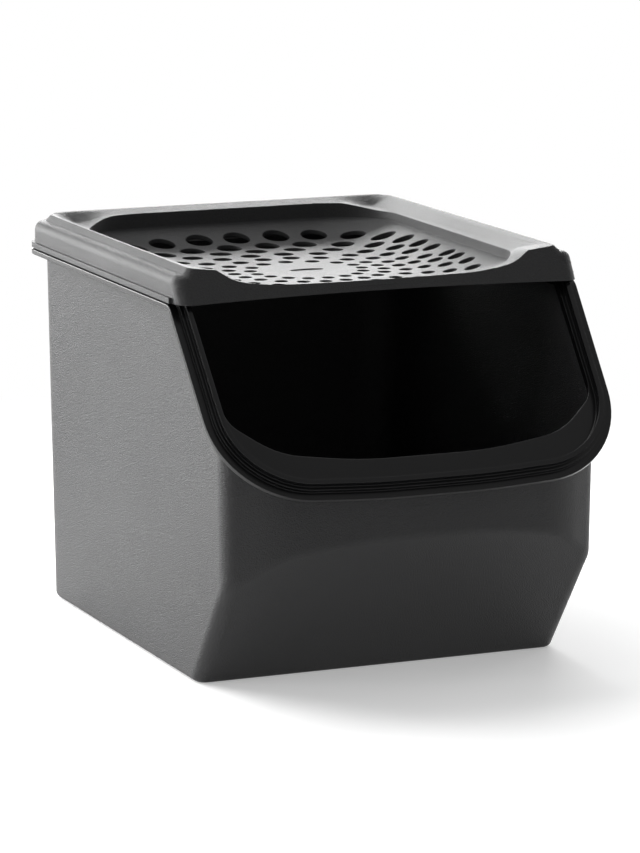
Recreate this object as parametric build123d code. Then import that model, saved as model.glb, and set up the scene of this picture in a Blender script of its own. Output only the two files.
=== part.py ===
from build123d import *
import math
import os

# Onion keeper: a moulded bin with a slanted front mouth and a vented lid that lifts off.
# Millimetres, +Z up. While it is modelled, y = 0 is the line of the lid's front corners
# and +Y runs to the back. At the end both pieces move so that the origin is under the
# middle of the whole keeper, on the surface it stands on.

# Wall of the bin, as a plan outline at the floor that widens upwards with the draft
wall = 2.0
floor_thickness = 2.2
draft_angle = 0.8
bin_half_back = 87.0
bin_side_taper = 1.8
bin_back_y = 198.8
shoulder_y = -25.0
cheek_inset = 19.2
cheek_reach = 11.2
nose_x = 30.0
nose_reach = 15.0
nose_radius = 260.0
back_corner_radius = 16.0
shoulder_radius = 9.0
cheek_radius = 46.0

# Chamfer under the front wall, and the foot
chamfer_foot_y = 9.4
chamfer_angle = 36.5
crease_radius = 6.0
foot_radius = 3.0
inside_radius = 2.0
foot_recess_depth = 1.0
foot_ring_width = 8.0

# Rim of the bin: one section that runs level under the lid and bends down the mouth
flange_top_z = 164.2
flange_thickness = 2.1
flange_reach = 8.0
step_rise = 2.1
lip_rise = 4.9
step_inset = 3.6
lip_inset = 5.2
lip_width = 2.2
frame_back_radius = 20.0

# Slanted mouth, as an outline in its own plane
mouth_angle = 50.0
bend_radius = 6.0
bend_y = 17.3
mouth_taper = 2.2
mouth_overhang = 4.2
mouth_bow = 4.2
mouth_bow_x = 25.0
mouth_corner_radius = 42.0
mouth_bow_radius = 400.0

# Skirt of the lid, whose bead follows the edge of the rim
lid_thickness = 1.6
lid_gap = 0.8
bead_height = 2.4
bead_reach = 1.5
bead_stop_y = 14.0
shoulder_height = 11.9
shoulder_radius_top = 4.2
seat_gap = 0.3

# Raised rails of the lid
rail_height = 2.7
rail_inset_foot = 6.6
rail_inset_crest = 9.0
rail_crest_radius = 1.2
rail_dip = 1.8

# Front face of the lid, hollow in plan and raked back
front_corner_y = 2.8
front_sag = 10.0
front_rake = 0.6
front_corner_radius = 6.0
rail_corner_radius = 4.0

# Recess and vented dish
recess_half_width = 72.0
recess_back_y = 188.0
dish_front_y = 11.0
recess_corner_radius = 27.0
recess_draft = 1.0
dish_rim_z = 171.3
dish_profile_radius = 74.0
dish_run = 34.0
dish_floor_radius = 16.0
dish_shares = [0.0, 0.3, 0.6, 0.85, 1.0]

# Front mouth of the recess: a slope from the rail down to the dish, as x and z
flare_top_x = 75.0
flare_top_z = 179.2
flare_mid_x = 66.0
flare_mid_z = 173.2
flare_low_x = 57.0
flare_radius = 20.0
flare_back_y = 27.0
flare_front_y = -30.0

# Vents, from the inner ring to the outer one
vent_centre_y = 90.0
vent_half_width = [25.5, 34.4, 42.9, 50.6, 57.6, 64.4]
vent_back_reach = [24.7, 35.5, 47.4, 59.5, 71.0, 84.0]
vent_front_reach = [24.7, 33.8, 41.5, 48.5, 55.0, 61.5]
vent_squareness = [2.0, 2.2, 2.5, 2.9, 3.6, 4.5]
vent_count = [16, 20, 22, 24, 28, 32]
vent_phase = [0.0, 0.5, 0.5, 0.0, 0.5, 0.0]
vent_side_diameter = [5.8, 6.1, 6.2, 6.2, 6.5, 7.0]
vent_back_diameter = [7.0, 8.2, 9.3, 10.5, 11.7, 12.6]
vent_back_spread = 0.4
vent_back_growth = 1.5
vent_path_steps = 720
dimple_length = 16.0
dimple_width = 6.0
dimple_depth = 0.5

# Sizes that follow from the ones above
draft = math.tan(math.radians(draft_angle))
bin_half_front = bin_half_back - bin_side_taper
cheek_x = bin_half_front - cheek_inset
cheek_y = shoulder_y - cheek_reach
nose_y = shoulder_y - nose_reach
floor_top_z = foot_recess_depth + floor_thickness
chamfer_slope = math.tan(math.radians(chamfer_angle))
crease_low = (chamfer_foot_y - shoulder_y - shoulder_radius) / chamfer_slope
crease_high = (chamfer_foot_y - nose_y) / chamfer_slope + crease_radius

frame_half_width = bin_half_back + flange_reach
frame_back_y = bin_back_y + flange_reach
bend_z = flange_top_z - flange_thickness - bend_radius
flange_low = bend_radius
flange_high = flange_low + flange_thickness
step_high = flange_high + step_rise
lip_high = flange_high + lip_rise
mouth_half_low = frame_half_width - mouth_taper
mouth_length = (bend_y - nose_y + mouth_overhang) / math.cos(math.radians(mouth_angle))
mouth_side_length = mouth_length - mouth_bow

skirt_bottom_z = flange_top_z + lid_gap
shoulder_top_z = skirt_bottom_z + shoulder_height
crest_z = shoulder_top_z + rail_height
dish_depth = dish_profile_radius - math.sqrt(dish_profile_radius ** 2 - dish_run ** 2)
dish_floor_z = dish_rim_z - dish_depth

# How far blanks and cutters run past the piece, or past a face that they meet
far = 400.0
overrun = 20.0
margin = 1.0
touch = 0.1


def rounded(corners, radii):
    """Flat outline through the corners, each rounded to its own radius."""
    path = FilletPolyline(*corners, radius=radii, close=True)
    return make_face(path).face()


def level_rectangle(half_width, front_y, back_y, height, front_radius, back_radius):
    """Level rectangle with its own corner radii at the front and at the back."""
    corners = [
        (half_width, front_y, height),
        (half_width, back_y, height),
        (-half_width, back_y, height),
        (-half_width, front_y, height),
    ]
    return rounded(corners, [front_radius, back_radius, back_radius, front_radius])


def raised(face, low, high):
    """Upright block over a level face, between two heights."""
    return Pos(0, 0, low) * extrude(face, amount=high - low, dir=(0, 0, 1))


def edges_between(shape, low, high):
    """Edges that lie wholly between two heights."""
    found = []
    for edge in shape.edges():
        box = edge.bounding_box()
        if box.min.Z > low and box.max.Z < high:
            found.append(edge)
    return found


# Bin walls

def bin_outline(grow, height=0.0):
    """Outline of the bin wall at a height, drafted and grown outwards by grow."""
    half = [(bin_half_back, bin_back_y), (bin_half_front, shoulder_y), (cheek_x, cheek_y)]
    half.append((nose_x, nose_y))
    right = [(x, y, height) for x, y in half]
    left = [(-x, y, height) for x, y in reversed(half)]
    radii = [back_corner_radius, shoulder_radius, cheek_radius, nose_radius]
    face = rounded(right + left, radii + radii[::-1])
    reach = grow + draft * height
    return offset(face, reach).face() if reach else face


def bin_block(grow, low, high):
    """Solid inside the bin's outline between two heights, with the wall's draft."""
    return extrude(bin_outline(grow, low), amount=high - low, taper=-draft_angle)


def below_chamfer(inset):
    """Everything in front of and under the chamfer plane, moved inwards by inset."""
    slope = Plane(
        origin=(0, chamfer_foot_y + inset / math.cos(math.radians(chamfer_angle)), 0),
        x_dir=(1, 0, 0),
        z_dir=(0, math.cos(math.radians(chamfer_angle)), math.sin(math.radians(chamfer_angle))),
    )
    return slope * Pos(0, 0, -far / 2) * Box(2 * far, far, far)


# Planes of the rim: level under the lid, then down the mouth, about one bend axis
level_plane = Plane(origin=(0, bend_y, bend_z))
mouth_normal = (0, -math.sin(math.radians(mouth_angle)), math.cos(math.radians(mouth_angle)))
mouth_plane = Plane(origin=(0, bend_y, bend_z), x_dir=(1, 0, 0), z_dir=mouth_normal)


def above(plane, height):
    """Half space over a plane of the rim."""
    return plane * Pos(0, 0, height + far / 2) * Box(2 * far, 2 * far, far)


def frame_level(inset, low, high):
    """Level run of the rim's outline, open at the bend."""
    outline = level_rectangle(
        frame_half_width - inset, bend_y, frame_back_y - inset, 0, 0, frame_back_radius - inset
    )
    return raised(outline, bend_z + low, bend_z + high)


def frame_bend(inset, low, high):
    """The same outline turned down about the bend axis."""
    section = Rectangle(2 * (frame_half_width - inset), high - low)
    face = Plane.XZ.offset(-bend_y) * Pos(0, bend_z + (low + high) / 2) * section
    return revolve(face, Axis((0, bend_y, bend_z), (1, 0, 0)), mouth_angle)


def frame_slanted(inset, low, high):
    """Outline of the mouth in its plane, rounded at the bottom, open at the bend."""
    flare = mouth_taper / mouth_side_length
    top = (frame_half_width + flare * overrun, overrun)
    half = [top, (mouth_half_low, -mouth_side_length), (mouth_bow_x, -mouth_length)]
    left = [(-x, y) for x, y in reversed(half)]
    radii = [0, mouth_corner_radius, mouth_bow_radius]
    face = rounded(half + left, radii + radii[::-1])
    if inset:
        face = offset(face, -inset).face()
    face = face - Pos(0, far / 2) * Rectangle(2 * far, far)
    return mouth_plane * Pos(0, 0, low) * extrude(face.face(), amount=high - low)


def frame(inset, low, high):
    """Block inside the rim's outline, over its level, bent and slanted runs."""
    return frame_level(inset, low, high) + frame_bend(inset, low, high) + frame_slanted(inset, low, high)


def make_bin():
    """Open bin with a chamfered front, a foot ring and a rim that bends down the mouth."""
    mid_flange = flange_low + flange_thickness / 2
    body = bin_block(0, 0, bend_z + mid_flange) - below_chamfer(0)
    crease = edges_between(body, crease_low, crease_high)
    crease = [edge for edge in crease if edge.center().Y < shoulder_y + shoulder_radius]
    body = fillet(crease, crease_radius)
    body = fillet(edges_between(body, -touch, touch), foot_radius)
    body = body - above(mouth_plane, mid_flange)

    rim = frame(0, flange_low, flange_high)
    rim += frame(step_inset, flange_high, step_high)
    rim += frame(lip_inset, step_high, lip_high)
    rim -= frame(lip_inset + lip_width, step_high - step_rise / 2, lip_high + margin)
    piece = body + rim

    cavity = bin_block(-wall, floor_top_z, crest_z) - below_chamfer(wall)
    cavity = fillet(edges_between(cavity, floor_top_z - touch, floor_top_z + touch), inside_radius)
    corner = back_corner_radius - foot_ring_width
    foot_recess = level_rectangle(
        bin_half_front - foot_ring_width, chamfer_foot_y + foot_ring_width,
        bin_back_y - foot_ring_width, 0, corner, corner,
    )
    return piece - cavity - raised(foot_recess, 0, foot_recess_depth)


# Lid

def lid_outline(inset, height):
    """Plan outline of the lid, running forward past its front face."""
    corner = frame_back_radius - inset
    return level_rectangle(
        frame_half_width - inset, -overrun, frame_back_y - inset, height, 0, corner
    )


def lid_block(inset, low, high):
    """Upright block inside the lid's outline."""
    return raised(lid_outline(inset, 0), low, high)


def in_front_of_face(depth):
    """Everything in front of the hollow, raked front face, moved back by depth."""
    reach = frame_half_width + overrun
    sag = front_sag * (reach / frame_half_width) ** 2
    faces = []
    for height in (skirt_bottom_z - overrun, crest_z + overrun):
        corner_y = front_corner_y + depth + front_rake * (height - skirt_bottom_z)
        side_y = corner_y + front_sag - sag
        arc = ThreePointArc((-reach, side_y), (0, side_y + sag), (reach, side_y))
        rest = Polyline((reach, side_y), (reach, -far), (-reach, -far), (-reach, side_y))
        faces.append(Pos(0, 0, height) * make_face(arc + rest).face())
    return loft(faces, ruled=True)


def front_corners(shape):
    """Upright edges at the two front corners of a block of the lid."""
    found = []
    for edge in shape.edges():
        size = edge.bounding_box().size
        if size.Z > margin and size.X < rail_inset_crest and edge.center().Y < bead_stop_y:
            found.append(edge)
    return found


def skirt_block(depth):
    """Solid inside the skirt and its shoulder, moved inwards by depth."""
    high = shoulder_top_z - depth
    block = lid_block(bead_reach + depth, skirt_bottom_z - depth, high) - in_front_of_face(depth)
    block = fillet(front_corners(block), front_corner_radius - depth)
    return fillet(edges_between(block, high - touch, high + touch), shoulder_radius_top - depth)


def rail_block(depth):
    """Solid inside the rails, drawn down into the skirt and moved inwards by depth."""
    drop = shoulder_radius_top + margin
    spread = drop * (rail_inset_crest - rail_inset_foot) / rail_height
    foot = lid_outline(rail_inset_foot - spread + depth, shoulder_top_z - drop - depth)
    crest = lid_outline(rail_inset_crest + depth, crest_z - depth)
    block = loft([foot, crest], ruled=True) - in_front_of_face(depth)
    return fillet(front_corners(block), rail_corner_radius - depth)


def dish_section(drop, grow):
    """Outline of the dish some way under its rim, as the arc of its profile gives it."""
    inward = dish_run - math.sqrt(
        dish_profile_radius ** 2 - (dish_profile_radius - dish_depth + drop) ** 2
    )
    share = inward / dish_run
    corner = recess_corner_radius + share * (dish_floor_radius - recess_corner_radius)
    return level_rectangle(
        recess_half_width - inward + grow,
        dish_front_y + inward - grow,
        recess_back_y - inward + grow,
        dish_rim_z - drop,
        corner + grow,
        corner + grow,
    )


def dish_bowl(grow):
    """Solid of the dish under its rim, grown outwards and downwards by grow."""
    drops = [dish_depth * share for share in dish_shares]
    sections = [dish_section(drop, grow) for drop in drops]
    return Pos(0, 0, -grow) * loft(sections)


def recess(grow):
    """Recess above the dish, with steep walls, grown outwards by grow."""
    low = level_rectangle(
        recess_half_width + grow, dish_front_y - grow, recess_back_y + grow, dish_rim_z - grow,
        recess_corner_radius + grow, recess_corner_radius + grow,
    )
    high = level_rectangle(
        recess_half_width + recess_draft + grow, dish_front_y - recess_draft - grow,
        recess_back_y + recess_draft + grow, crest_z + margin,
        recess_corner_radius + recess_draft + grow, recess_corner_radius + recess_draft + grow,
    )
    return loft([low, high], ruled=True)


def recess_mouth(grow):
    """Flared opening of the recess through the front face, grown outwards by grow."""
    half = [(flare_low_x, dish_rim_z), (flare_mid_x, flare_mid_z), (flare_top_x, flare_top_z)]
    half.append((flare_top_x, crest_z + overrun))
    left = [(-x, z) for x, z in reversed(half)]
    radii = [0, flare_radius, 0, 0]
    face = rounded(half + left, radii + radii[::-1])
    if grow:
        face = offset(face, grow).face()
    length = flare_back_y + grow - flare_front_y
    return Plane.XZ.offset(-flare_back_y - grow) * extrude(face, amount=length)


def rail_top(drop):
    """Space over the rails, whose tops dip slightly towards the recess."""
    crest = lid_outline(rail_inset_crest, crest_z - drop)
    inner = level_rectangle(
        recess_half_width, -overrun, recess_back_y, crest_z - drop - rail_dip, 0,
        recess_corner_radius,
    )
    return loft([inner, crest], ruled=True)


def ring_of_vents(ring):
    """Centres and diameters of one ring of vents, wider and further apart at the back."""
    steps = vent_path_steps
    back = vent_back_reach[ring]
    power = 2 / vent_squareness[ring]
    path = []
    for step in range(steps + 1):
        turn = math.tau * (step / steps + 0.25)
        across, along = math.cos(turn), math.sin(turn)
        reach = back if along > 0 else vent_front_reach[ring]
        x = vent_half_width[ring] * math.copysign(abs(across) ** power, across)
        y = reach * math.copysign(abs(along) ** power, along)
        path.append((x, y))
    lengths = [0.0]
    for (x0, y0), (x1, y1) in zip(path, path[1:]):
        backness = max(0.0, (y0 + y1) / 2 / back)
        stretch = 1 + vent_back_spread * backness
        lengths.append(lengths[-1] + math.hypot(x1 - x0, y1 - y0) / stretch)
    vents = []
    for number in range(vent_count[ring]):
        wanted = lengths[-1] * (number + vent_phase[ring]) / vent_count[ring]
        index = max(i for i, length in enumerate(lengths) if length <= wanted + 1e-9)
        x, y = path[index]
        backness = max(0.0, y / back)
        side = vent_side_diameter[ring]
        diameter = side + (vent_back_diameter[ring] - side) * backness ** vent_back_growth
        vents.append((x, y + vent_centre_y, diameter))
    return vents


def make_lid():
    """Lid with raised rails, a hollow front face and a vented dish sunk in its middle."""
    rails = rail_block(0)
    rails = fillet(edges_between(rails, crest_z - touch, crest_z + touch), rail_crest_radius)
    outside = skirt_block(0) + (rails - rail_top(0))
    bead = level_rectangle(frame_half_width, bead_stop_y, frame_back_y, 0, 0, frame_back_radius)
    outside += raised(bead, skirt_bottom_z, skirt_bottom_z + bead_height)
    inside = skirt_block(lid_thickness) + (rail_block(lid_thickness) - rail_top(lid_thickness))

    lining_top = above(Plane.XY, crest_z - rail_dip - lid_thickness / 2)
    front = in_front_of_face(0)
    lining = dish_bowl(lid_thickness) - front
    lining += recess(lid_thickness) - lining_top - front
    lining += recess_mouth(lid_thickness) - lining_top - front
    seat_low = lip_high + seat_gap
    seat_high = shoulder_top_z - lid_thickness / 2 - bend_z
    seat = frame_level(lip_inset, seat_low, seat_high)
    seat -= frame_level(lip_inset + lip_width, seat_low, seat_high)

    piece = outside - inside + seat + lining
    piece = piece - dish_bowl(0) - recess(0) - recess_mouth(0)

    dimple = extrude(Ellipse(dimple_length / 2, dimple_width / 2), amount=2 * dimple_depth)
    piece -= Pos(0, vent_centre_y, dish_floor_z - dimple_depth) * dimple
    for ring in range(len(vent_count)):
        holes = []
        for x, y, diameter in ring_of_vents(ring):
            holes.append(Pos(x, y, dish_floor_z) * Cylinder(diameter / 2, 2 * overrun))
        piece -= holes
    return piece


bin_piece = make_bin()
lid_piece = make_lid()

# The frame of the whole keeper: origin under its middle
boxes = [bin_piece.bounding_box(), lid_piece.bounding_box()]
front_end = min(box.min.Y for box in boxes)
back_end = max(box.max.Y for box in boxes)
to_middle = Pos(0, -(front_end + back_end) / 2, 0)

os.makedirs("parts", exist_ok=True)
for name, piece in (("bin", bin_piece), ("lid", lid_piece)):
    export_step(to_middle * piece, f"parts/{name}.step")
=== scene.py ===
import math
import bpy
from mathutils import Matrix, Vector


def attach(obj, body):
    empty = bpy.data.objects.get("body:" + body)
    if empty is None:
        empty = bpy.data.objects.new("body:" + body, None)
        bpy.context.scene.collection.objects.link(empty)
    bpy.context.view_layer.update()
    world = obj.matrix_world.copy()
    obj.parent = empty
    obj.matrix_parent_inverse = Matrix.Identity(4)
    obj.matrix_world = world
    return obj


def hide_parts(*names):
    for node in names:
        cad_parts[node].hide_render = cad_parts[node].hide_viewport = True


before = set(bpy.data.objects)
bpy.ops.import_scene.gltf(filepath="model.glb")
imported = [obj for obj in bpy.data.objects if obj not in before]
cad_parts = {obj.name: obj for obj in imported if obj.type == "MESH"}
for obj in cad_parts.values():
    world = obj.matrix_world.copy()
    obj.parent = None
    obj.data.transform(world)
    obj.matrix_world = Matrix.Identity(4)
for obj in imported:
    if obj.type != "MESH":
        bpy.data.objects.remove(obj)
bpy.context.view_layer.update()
print("frame loaded:", len(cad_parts), "nodes")
bpy.context.scene.view_settings.view_transform = "Standard"


# Small tools

def hexLinear(code):
    channels = [int(code[i:i + 2], 16) / 255 for i in (1, 3, 5)]
    return [c / 12.92 if c <= 0.04045 else ((c + 0.055) / 1.055) ** 2.4 for c in channels] + [1.0]


def addNode(tree, kind, settings=None, links=None):
    node = tree.nodes.new(kind)
    for key, value in (settings or {}).items():
        if hasattr(node, str(key)):
            setattr(node, key, value)
        else:
            node.inputs[key].default_value = value
    for key, socket in (links or {}).items():
        tree.links.new(socket, node.inputs[key])
    return node


def emptyMaterial(name):
    material = bpy.data.materials.new(name)
    material.use_nodes = True
    material.node_tree.nodes.clear()
    return material


# Camera at the photograph's angle: from the front left, a little above the lid
camera = dict(
    place=(-0.6989, -1.6505, 0.4403),   # metres from the middle of the keeper's foot
    turn=22.99,                         # degrees from +Y towards +X
    tilt=10.94,                         # degrees down
    lens=172.3,                         # mm on a 36 mm long side
    sensor=36,
)


def makeCamera():
    bpy.ops.object.select_all(action="DESELECT")
    turn, tilt = math.radians(camera["turn"]), math.radians(camera["tilt"])
    bpy.ops.object.camera_add(location=camera["place"], rotation=(math.pi / 2 - tilt, 0, -turn))
    cam = bpy.context.object
    cam.name = "photoCamera"
    cam.data.lens = camera["lens"]
    cam.data.sensor_width = camera["sensor"]
    bpy.context.scene.camera = cam
    print("camera made")


makeCamera()

# Studio: softboxes behind the left wall, low behind the lid and at the right, a strip at the left
# for the edges, and a big softbox behind and above. Places in metres, power in watts.
studio = dict(
    boxes=dict(
        leftBox=dict(place=(-0.6, 0.75, 0.35), aim=(-0.09, 0.05, 0.12), size=(0.7, 0.6), power=14),
        backPanel=dict(place=(0.45, 1.0, 0.45), aim=(0, 0, 0.17), size=(0.8, 0.4), power=10.5),
        rightBox=dict(place=(1.25, 0.45, 0.3), aim=(0.09, -0.05, 0.1), size=(0.5, 0.6), power=1.6),
        sideStrip=dict(place=(-1.3, -0.2, 0.45), aim=(0, -0.05, 0.12), size=(0.12, 1.1), power=3),
        topBox=dict(place=(-0.3, 0.7, 1.6), aim=(0, 0, 0.1), size=(1.3, 0.9), power=14),
    ),
    backLevel=0.5,          # the world's light from behind the keeper
    frontLevel=0.3,         # and from behind the camera
    backFrom=0.6,           # how far towards +Y and -Y those levels begin
    frontFrom=-0.5,
    glossLift=0.1,          # what a gloss sees above that level
    floorSize=8.0,
    floorDepth=0.0002,      # just under the foot, so that the two never share a plane
    floorColour="#f4f4f4",
    floorGlow=0.33,
    floorNear=0.2,          # metres from the middle where the floor starts to fade to plain white
    floorFar=0.6,
)


def makeLights():
    for name, box in studio["boxes"].items():
        bpy.ops.object.select_all(action="DESELECT")
        place, aim = Vector(box["place"]), Vector(box["aim"])
        turn = (aim - place).to_track_quat("-Z", "Y").to_euler()
        bpy.ops.object.light_add(type="AREA", location=place, rotation=turn)
        lamp = bpy.context.object
        lamp.name = name
        lamp.data.shape = "RECTANGLE"
        lamp.data.size, lamp.data.size_y = box["size"]
        lamp.data.energy = box["power"]
        lamp.visible_camera = False
    print("lights made")


def makeWorld():
    # Plain white to the camera; as light, brighter behind the keeper than behind the camera
    world = bpy.data.worlds.new("studioWorld")
    bpy.context.scene.world = world
    world.use_nodes = True
    tree = world.node_tree
    tree.nodes.clear()
    rays = addNode(tree, "ShaderNodeLightPath")
    place = addNode(tree, "ShaderNodeTexCoord")
    split = addNode(tree, "ShaderNodeSeparateXYZ", None, {0: place.outputs["Generated"]})
    level = addNode(tree, "ShaderNodeMapRange", {
        "From Min": studio["frontFrom"], "From Max": studio["backFrom"],
        "To Min": studio["frontLevel"], "To Max": studio["backLevel"]}, {"Value": split.outputs["Y"]})
    seen = addNode(tree, "ShaderNodeMath", {"operation": "MAXIMUM"}, {
        0: rays.outputs["Is Camera Ray"], 1: rays.outputs["Is Transmission Ray"]})
    mirrored = addNode(tree, "ShaderNodeMath", {"operation": "MULTIPLY", 1: studio["glossLift"]}, {
        0: rays.outputs["Is Glossy Ray"]})
    strength = addNode(tree, "ShaderNodeMath", {"operation": "ADD"}, {
        0: level.outputs[0], 1: mirrored.outputs[0]})
    white = addNode(tree, "ShaderNodeBackground", {"Color": (1, 1, 1, 1), "Strength": 1.0})
    light = addNode(tree, "ShaderNodeBackground", {"Color": (1, 1, 1, 1)}, {
        "Strength": strength.outputs[0]})
    mix = addNode(tree, "ShaderNodeMixShader", None, {
        0: seen.outputs[0], 1: light.outputs[0], 2: white.outputs[0]})
    addNode(tree, "ShaderNodeOutputWorld", None, {"Surface": mix.outputs[0]})
    print("world made")


def makeFloor():
    # Pale paper that keeps the keeper's shadow and fades to plain white further out
    bpy.ops.object.select_all(action="DESELECT")
    bpy.ops.mesh.primitive_plane_add(size=studio["floorSize"], location=(0, 0, -studio["floorDepth"]))
    floor = bpy.context.object
    floor.name = "paperFloor"
    material = emptyMaterial("paleStudioPaper")
    tree = material.node_tree
    rays = addNode(tree, "ShaderNodeLightPath")
    place = addNode(tree, "ShaderNodeTexCoord")
    middle = addNode(tree, "ShaderNodeVectorMath", {"operation": "LENGTH"}, {
        0: place.outputs["Object"]})
    fade = addNode(tree, "ShaderNodeMapRange", {
        "interpolation_type": "SMOOTHSTEP",
        "From Min": studio["floorNear"], "From Max": studio["floorFar"]}, {"Value": middle.outputs["Value"]})
    paper = addNode(tree, "ShaderNodeBsdfDiffuse", {"Color": hexLinear(studio["floorColour"])})
    glow = addNode(tree, "ShaderNodeEmission", {"Color": (1, 1, 1, 1), "Strength": studio["floorGlow"]})
    white = addNode(tree, "ShaderNodeEmission", {"Color": (1, 1, 1, 1), "Strength": 1.0})
    near = addNode(tree, "ShaderNodeAddShader", None, {0: paper.outputs[0], 1: glow.outputs[0]})
    shown = addNode(tree, "ShaderNodeMixShader", None, {
        0: fade.outputs[0], 1: near.outputs[0], 2: white.outputs[0]})
    direct = addNode(tree, "ShaderNodeMath", {"operation": "MAXIMUM"}, {
        0: rays.outputs["Is Camera Ray"], 1: rays.outputs["Is Glossy Ray"]})
    seen = addNode(tree, "ShaderNodeMath", {"operation": "MAXIMUM"}, {
        0: direct.outputs[0], 1: rays.outputs["Is Transmission Ray"]})
    mix = addNode(tree, "ShaderNodeMixShader", None, {
        0: seen.outputs[0], 1: paper.outputs[0], 2: shown.outputs[0]})
    addNode(tree, "ShaderNodeOutputMaterial", None, {"Surface": mix.outputs[0]})
    floor.data.materials.append(material)
    print("floor made")


makeLights()
makeWorld()
makeFloor()

# Injection-moulded polypropylene, charcoal black. The walls come from a spark-eroded mould: a fine even
# grain that turns the softbox into a grey sheen full of small specks. The rim comes from a polished part
# of the mould, so it stays black and shows a thin bright line along each edge.
binPolypropylene = dict(
    colour="#19191a",
    paleGrain="#29292a",
    rimColour="#0c0c0d",
    grainSize=0.0006,       # metres; the real grain is about 0.1 mm, drawn this coarse so that it shows
    grainHeight=0.00035,
    grainStrength=0.7,
    wallRoughness=0.3,      # on the lands of the grain
    grainRoughness=0.24,    # how much duller the pits are than the lands between them
    rimRoughness=0.24,
    flowSize=0.0714,        # metres; the melt's slow changes of gloss
    flowRoughness=0.04,
    edgeRadius=0.0005,      # moulded edges are rounded by half a millimetre
    rimHeight=0.1619,       # the flange's underside
    bendPlace=(0.0, -0.0608, 0.1561),   # where the rim bends down the mouth
    mouthAngle=50.0,
    flangeLift=0.0059,      # from the mouth's plane to the flange's underside
    ior=1.4,                # a little under solid polypropylene: the grain traps part of the gloss
)

# The lid is the same plastic from a mould with a flatter and duller grain, so that it spreads the light
# from behind into an even, pale sheen
lidPolypropylene = dict(
    colour="#1a1a1b",
    paleGrain="#272728",
    grainSize=0.0006,
    grainHeight=0.0002,
    grainStrength=0.6,
    roughness=0.5,
    flowSize=0.0556,
    flowRoughness=0.04,
    edgeRadius=0.0007,
    ior=1.42,
)


def grain(tree, place, look):
    # Noise with finer noise on it: the crater field that spark erosion leaves in the mould
    noise = addNode(tree, "ShaderNodeTexNoise", {
        "Scale": 1 / look["grainSize"], "Detail": 2.0, "Roughness": 0.7}, {
        "Vector": place.outputs["Object"]})
    return addNode(tree, "ShaderNodeMapRange", {"From Min": 0.3, "From Max": 0.7}, {
        "Value": noise.outputs["Fac"]})


def unevenGloss(tree, place, look, roughness):
    flow = addNode(tree, "ShaderNodeTexNoise", {"Scale": 1 / look["flowSize"], "Detail": 2.0}, {
        "Vector": place.outputs["Object"]})
    return addNode(tree, "ShaderNodeMapRange", {
        "To Min": roughness - look["flowRoughness"], "To Max": roughness + look["flowRoughness"]}, {
        "Value": flow.outputs["Fac"]})


def grainedPlastic(tree, look, tone, roughness, height):
    # Rounded edges under the grain's relief
    edge = addNode(tree, "ShaderNodeBevel", {"samples": 6, "Radius": look["edgeRadius"]})
    bump = addNode(tree, "ShaderNodeBump", {
        "Strength": look["grainStrength"], "Distance": look["grainHeight"]}, {
        "Height": height.outputs[0], "Normal": edge.outputs[0]})
    shader = addNode(tree, "ShaderNodeBsdfPrincipled", {"IOR": look["ior"]}, {
        "Base Color": tone.outputs[2], "Roughness": roughness.outputs[0], "Normal": bump.outputs[0]})
    addNode(tree, "ShaderNodeOutputMaterial", None, {"Surface": shader.outputs[0]})


def makeBinMaterial(look):
    material = emptyMaterial("grainedBinPolypropylene")
    tree = material.node_tree
    place = addNode(tree, "ShaderNodeTexCoord")

    # The rim is what lies above its flange's underside, on the level part or down the slanted mouth
    split = addNode(tree, "ShaderNodeSeparateXYZ", None, {0: place.outputs["Object"]})
    level = addNode(tree, "ShaderNodeMath", {"operation": "GREATER_THAN", 1: look["rimHeight"]}, {
        0: split.outputs["Z"]})
    fromBend = addNode(tree, "ShaderNodeVectorMath", {"operation": "SUBTRACT", 1: look["bendPlace"]}, {
        0: place.outputs["Object"]})
    slope = math.radians(look["mouthAngle"])
    lift = addNode(tree, "ShaderNodeVectorMath", {
        "operation": "DOT_PRODUCT", 1: (0, -math.sin(slope), math.cos(slope))}, {0: fromBend.outputs[0]})
    slanted = addNode(tree, "ShaderNodeMath", {"operation": "GREATER_THAN", 1: look["flangeLift"]}, {
        0: lift.outputs["Value"]})
    rim = addNode(tree, "ShaderNodeMath", {"operation": "MAXIMUM"}, {
        0: level.outputs[0], 1: slanted.outputs[0]})
    wall = addNode(tree, "ShaderNodeMath", {"operation": "SUBTRACT", 0: 1.0}, {1: rim.outputs[0]})

    # Grain on the walls alone
    speck = grain(tree, place, look)
    shown = addNode(tree, "ShaderNodeMath", {"operation": "MULTIPLY"}, {
        0: speck.outputs[0], 1: wall.outputs[0]})
    wallTone = addNode(tree, "ShaderNodeMix", {
        "data_type": "RGBA", 6: hexLinear(look["colour"]), 7: hexLinear(look["paleGrain"])}, {
        0: shown.outputs[0]})
    tone = addNode(tree, "ShaderNodeMix", {"data_type": "RGBA", 7: hexLinear(look["rimColour"])}, {
        0: rim.outputs[0], 6: wallTone.outputs[2]})
    uneven = unevenGloss(tree, place, look, look["wallRoughness"])
    pitted = addNode(tree, "ShaderNodeMath", {"operation": "MULTIPLY_ADD", 1: look["grainRoughness"]}, {
        0: speck.outputs[0], 2: uneven.outputs[0]})
    rough = addNode(tree, "ShaderNodeMix", {2: look["rimRoughness"]}, {
        0: wall.outputs[0], 3: pitted.outputs[0]})
    grainedPlastic(tree, look, tone, rough, shown)
    return material


def makeLidMaterial(look):
    material = emptyMaterial("satinLidPolypropylene")
    tree = material.node_tree
    place = addNode(tree, "ShaderNodeTexCoord")
    speck = grain(tree, place, look)
    tone = addNode(tree, "ShaderNodeMix", {
        "data_type": "RGBA", 6: hexLinear(look["colour"]), 7: hexLinear(look["paleGrain"])}, {
        0: speck.outputs[0]})
    uneven = unevenGloss(tree, place, look, look["roughness"])
    grainedPlastic(tree, look, tone, uneven, speck)
    return material


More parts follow.
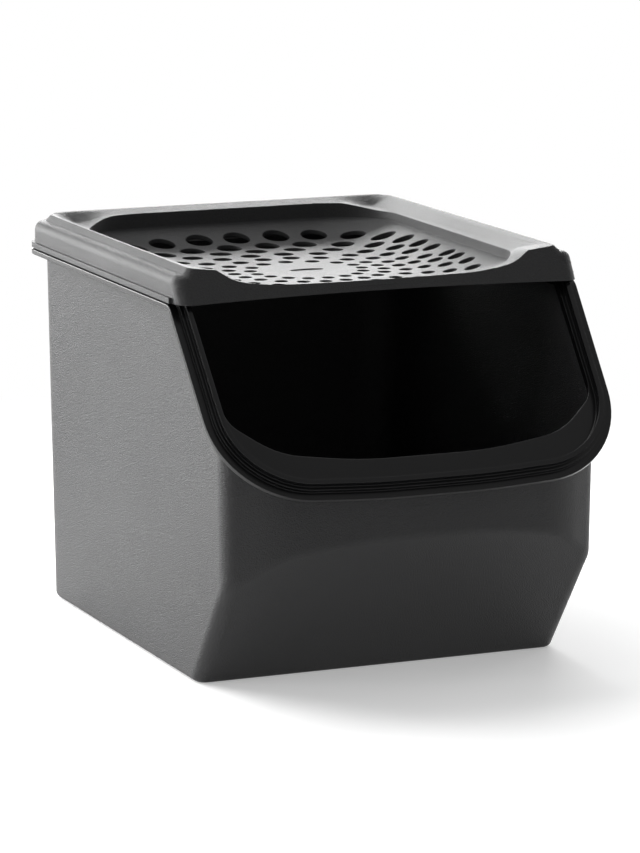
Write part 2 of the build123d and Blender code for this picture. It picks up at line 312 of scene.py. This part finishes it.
def dressNode(name, material):
    piece = bpy.data.objects[name]
    for slot in piece.material_slots:
        slot.material = material
    print("dressed:", name)


dressNode("bin", makeBinMaterial(binPolypropylene))

# The side rails of the lid fall away from their crest into the recess, and the front corners are round.
# The CAD lid has the same rails with a flatter top, so a copy of its mesh is pressed into this form.
# All in metres, x from the middle and y from the front towards the back.
ventedLid = dict(
    crest=0.085,            # x of a side rail's crest
    recess=0.072,           # x of the recess's side wall
    dish=0.056,             # nearer the middle than this, the dish keeps its form
    growth=0.003,           # the recess's walls move out by this
    growFrom=-0.06, growTo=0.02,            # y where that begins and is whole
    drop=0.003,             # the rails' inner edges come down by this
    dropFrom=0.056, dropTo=0.072,           # x, from the back rail round the corner to the side rail
    backCrest=0.1178, backRecess=0.11,      # y of the back rail's crest and of the recess's back wall
    frontFlat=-0.064, frontDrop=-0.04,      # y where the drop has faded out towards the front face
    floor=0.1713, top=0.1778,               # z of the foot and the top of the recess's wall
    railTop=0.1765,         # faces above this z get extra cuts, so that the rails can curve
    railCuts=(0.075, 0.0785, 0.082),
    cornerCuts=(0.04, 0.045, 0.05, 0.055, 0.06, 0.065, 0.07),
    backCuts=(0.085, 0.09, 0.095, 0.1, 0.105, 0.1095, 0.113),
    flareFoot=0.066, flareLow=0.1732, flareSlope=0.667,     # the flare beside the recess's front corners
    flareFrom=-0.0512, flareTo=-0.0455,
    cornerX=0.0875, cornerY=-0.0676, cornerZ=0.165,         # middle of a front corner's rounding
    cornerRake=0.6,         # how far it moves back for each metre up
    cornerRadius=0.00593,
    cornerFoot=0.1704, cornerTop=0.1742,    # z between which the rail stood proud of the skirt
    mergeDistance=0.000002,
    smoothAngle=30,
)


def ramp(value, start, end):
    return min(max((value - start) / (end - start), 0.0), 1.0)


def smooth(share):
    return share * share * (3 - 2 * share)


def cutRailTops(lid, shape):
    cuts = [(side * x, 0, (1, 0, 0)) for x in shape["railCuts"] + shape["cornerCuts"] for side in (-1, 1)]
    cuts += [(0, y, (0, 1, 0)) for y in shape["backCuts"]]
    bpy.ops.mesh.select_mode(type="FACE")
    for x, y, normal in cuts:
        bpy.ops.mesh.select_all(action="DESELECT")
        bpy.ops.object.mode_set(mode="OBJECT")
        for face in lid.data.polygons:
            face.select = face.normal.z > 0.9 and face.center.z > shape["railTop"]
        bpy.ops.object.mode_set(mode="EDIT")
        bpy.ops.mesh.bisect(plane_co=(x, y, 0), plane_no=normal)


def pressed(place, shape):
    x, y, z = abs(place.x), place.y, place.z
    if shape["flareFrom"] < y < shape["flareTo"] and x > shape["flareFoot"]:
        z = min(z, shape["flareLow"] + (x - shape["flareFoot"]) * shape["flareSlope"])

    # Down and outwards, from nothing at the crest to the whole at the recess's wall
    inward = ramp(x, shape["crest"], shape["recess"])
    drop = shape["drop"] * inward * ramp(y, shape["backCrest"], shape["backRecess"])
    drop *= smooth(ramp(x, shape["dropFrom"], shape["dropTo"])) * ramp(z, shape["floor"], shape["top"])
    drop *= smooth(ramp(y, shape["frontFlat"], shape["frontDrop"]))
    growth = shape["growth"] * inward * ramp(x, shape["dish"], shape["recess"])
    growth *= ramp(y, shape["growFrom"], shape["growTo"])
    new = Vector((x + growth, y, z - drop))

    # The rail's front corner is drawn in to the skirt's rounding
    middle = Vector((shape["cornerX"], shape["cornerY"] + shape["cornerRake"] * (z - shape["cornerZ"]), z))
    reach = (new - middle).length
    beside = new.x > middle.x and new.y < middle.y and shape["cornerFoot"] < z < shape["cornerTop"]
    if beside and reach > shape["cornerRadius"]:
        new = middle + (new - middle) * shape["cornerRadius"] / reach
    new.x = math.copysign(new.x, place.x)
    return new


def makeVentedLid(shape, material):
    bpy.ops.object.select_all(action="DESELECT")
    lid = bpy.data.objects.new("ventedLid", bpy.data.objects["lid"].data.copy())
    bpy.context.scene.collection.objects.link(lid)
    lid.select_set(True)
    bpy.context.view_layer.objects.active = lid
    bpy.ops.mesh.customdata_custom_splitnormals_clear()
    bpy.ops.object.mode_set(mode="EDIT")
    bpy.ops.mesh.select_all(action="SELECT")
    bpy.ops.mesh.remove_doubles(threshold=shape["mergeDistance"])
    cutRailTops(lid, shape)
    bpy.ops.object.mode_set(mode="OBJECT")
    for vertex in lid.data.vertices:
        vertex.co = pressed(vertex.co, shape)
    bpy.ops.object.shade_smooth_by_angle(angle=math.radians(shape["smoothAngle"]))
    bpy.ops.object.modifier_add(type="WEIGHTED_NORMAL")
    flat = lid.modifiers[0]     # keeps the large flat faces flat in the light
    flat.keep_sharp = True
    bpy.ops.object.modifier_apply(modifier=flat.name)
    lid.material_slots[0].material = material
    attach(lid, "lid")
    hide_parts("lid")
    print("vented lid made")


makeVentedLid(ventedLid, makeLidMaterial(lidPolypropylene))
